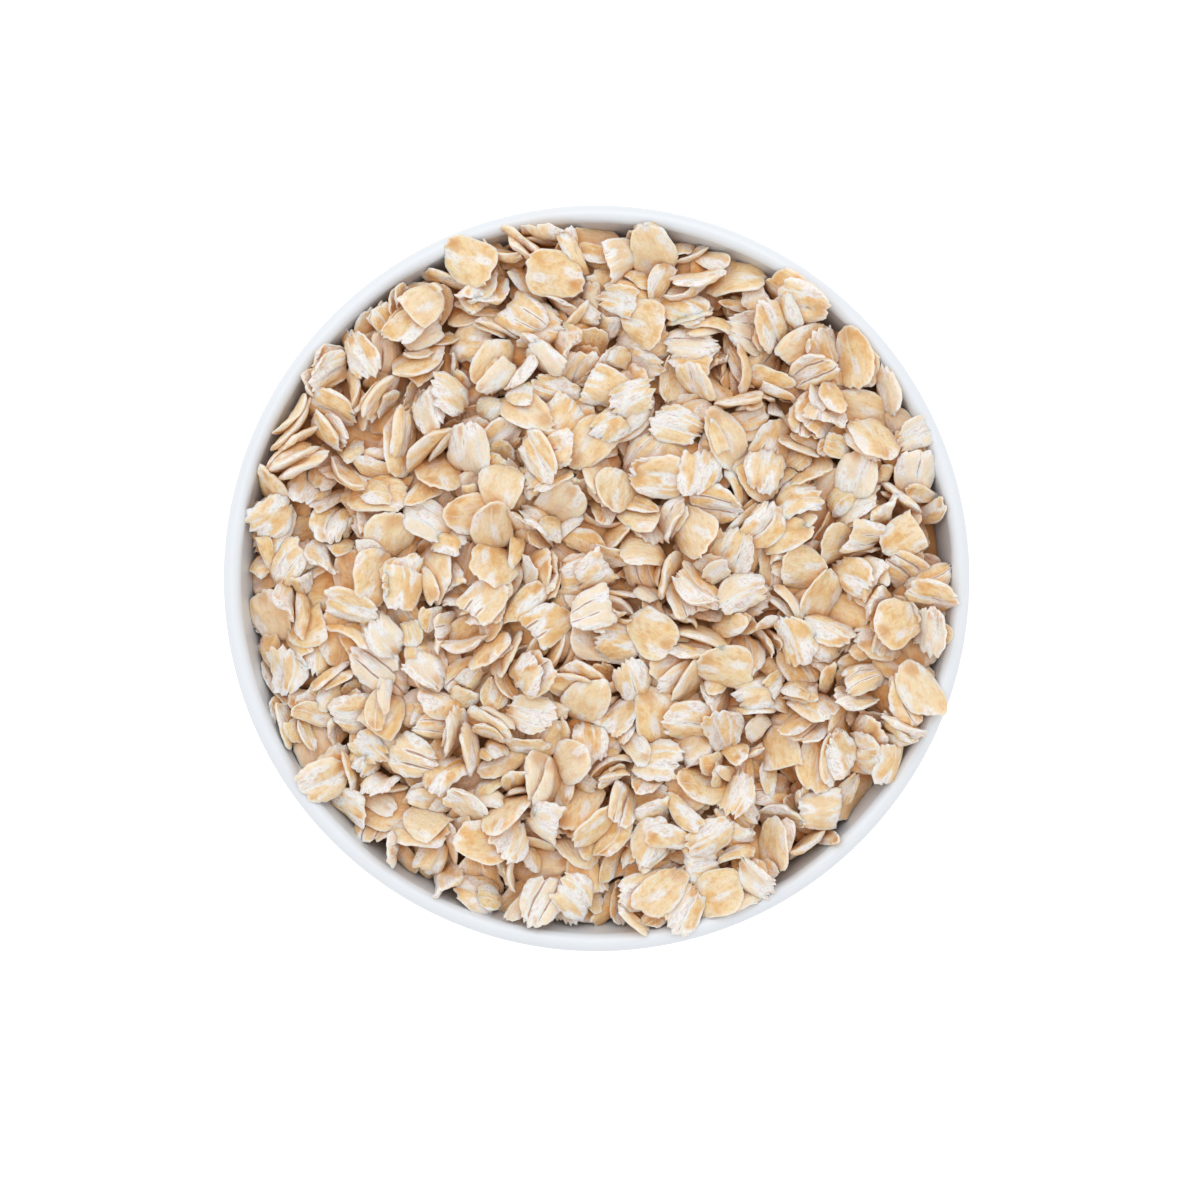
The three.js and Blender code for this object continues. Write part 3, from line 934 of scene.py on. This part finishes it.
# marks on every point how much of the light from above is hidden from it by the heap
def makeHollowTree():
    tree, given = newTree("markHollows", {
        "Flakes": "NodeSocketGeometry", "Heap": "NodeSocketCollection",
        "Lift": "NodeSocketFloat", "Reach": "NodeSocketFloat", "Material": "NodeSocketMaterial"})
    heap = addNode(tree, "GeometryNodeCollectionInfo", {"transform_space": "ORIGINAL"}, {
        "Collection": given["Heap"]})
    solid = addNode(tree, "GeometryNodeRealizeInstances", None, {"Geometry": heap.outputs[0]})
    place = addNode(tree, "GeometryNodeInputPosition").outputs[0]
    normal = addNode(tree, "GeometryNodeInputNormal").outputs[0]
    start = addNode(tree, "ShaderNodeVectorMath", {"operation": "MULTIPLY_ADD"}, {
        0: normal, 1: given["Lift"], 2: place}).outputs[0]
    angles = [2 * math.pi * k / hollowSet["around"] for k in range(hollowSet["around"])]
    rays = [(0, 0, 1), *((math.cos(a), math.sin(a), hollowSet["slope"]) for a in angles)]
    hidden = 0.0
    for ray in rays:
        cast = addNode(tree, "GeometryNodeRaycast", None, {
            "Target Geometry": solid.outputs[0], "Source Position": start, "Ray Direction": ray,
            "Ray Length": given["Reach"]})
        hidden = addNode(tree, "ShaderNodeMath", {"operation": "MULTIPLY_ADD"}, {
            0: cast.outputs["Is Hit"], 1: 1 / len(rays), 2: hidden}).outputs[0]
    soft = addNode(tree, "GeometryNodeBlurAttribute", {"data_type": "FLOAT"}, {
        0: hidden, "Iterations": 1})
    marked = addNode(tree, "GeometryNodeStoreNamedAttribute", {
        "data_type": "FLOAT", "domain": "POINT"}, {
        "Geometry": given["Flakes"], "Name": "hollow", "Value": soft.outputs[0]})
    real = addNode(tree, "GeometryNodeRealizeInstances", None, {"Geometry": marked.outputs[0]})
    coated = addNode(tree, "GeometryNodeSetMaterial", None, {
        "Geometry": real.outputs[0], "Material": given["Material"]})
    addNode(tree, "NodeGroupOutput", None, {"Result": coated.outputs[0]})
    return tree


def markHollows(pieces):
    heap = bpy.data.collections.new("heap")
    for piece in pieces:
        heap.objects.link(bpy.data.objects.new(piece.name + "Still", piece.data.copy()))
    tree = makeHollowTree()
    for piece in pieces:
        applyTree(piece, tree, {
            "Heap": heap, "Lift": hollowSet["lift"] * mm, "Reach": hollowSet["reach"] * mm,
            "Material": piece.data.materials[0]})
    for still in list(heap.objects):
        mesh = still.data
        bpy.data.objects.remove(still)
        bpy.data.meshes.remove(mesh)
    bpy.data.collections.remove(heap)


markHollows(flakePieces)
print("hollows marked")


lightSet = {
    "sky": "#FFFCF9",
    "skyStrength": 0.99,
    "softBox": 2.2,         # watts
    "softBoxSize": 0.75,    # m
    "softBoxFrom": (-0.08, 0.38, 0.86),
    "tableGlow": 0.3,       # only seen, it lights nothing
    "tableColour": "#F8F8F8",
    "tableHalf": 10.0,      # m from its middle to a side
}


# matt white paper, even all over; the glow is too weak to take away the shadow on it
def makeTable():
    half = lightSet["tableHalf"]
    corners = [(-half, -half, 0), (half, -half, 0), (half, half, 0), (-half, half, 0)]
    mesh = bpy.data.meshes.new("table")
    mesh.from_pydata(corners, [], [(0, 1, 2, 3)])
    material, tree = newMaterial("whitePaper")
    paper = addNode(tree, "ShaderNodeBsdfDiffuse", None, {
        "Color": hexToLinear(lightSet["tableColour"])})
    seen = addNode(tree, "ShaderNodeLightPath").outputs["Is Camera Ray"]
    glow = addNode(tree, "ShaderNodeEmission", None, {"Strength": lightSet["tableGlow"]})
    glow = addNode(tree, "ShaderNodeMixShader", None, {0: seen, 2: glow.outputs[0]})
    both = addNode(tree, "ShaderNodeAddShader", None, {0: paper.outputs[0], 1: glow.outputs[0]})
    addNode(tree, "ShaderNodeOutputMaterial", None, {"Surface": both.outputs[0]})
    mesh.materials.append(material)
    return addPiece("table", mesh)


def makeLights():
    world = bpy.data.worlds.new("studio")
    world.use_nodes = True
    world.node_tree.nodes.clear()
    sky = addNode(world.node_tree, "ShaderNodeBackground", None, {
        "Color": hexToLinear(lightSet["sky"]), "Strength": lightSet["skyStrength"]})
    addNode(world.node_tree, "ShaderNodeOutputWorld", None, {"Surface": sky.outputs[0]})
    scene.world = world
    lamp = bpy.data.lights.new("softBox", "AREA")
    lamp.energy = lightSet["softBox"]
    lamp.size = lightSet["softBoxSize"]
    softBox = bpy.data.objects.new("softBox", lamp)
    softBox.location = lightSet["softBoxFrom"]
    softBox.rotation_euler = (-Vector(lightSet["softBoxFrom"])).to_track_quat("-Z", "Y").to_euler()
    scene.collection.objects.link(softBox)


table = makeTable()
makeLights()
scene.view_settings.view_transform = "Standard"
scene.view_settings.look = "None"
print("lit")

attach(porcelainBowl, "root")
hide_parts("bowl")
for piece in [oatCore, *flakePieces]:
    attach(piece, "root")
    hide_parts("oats")
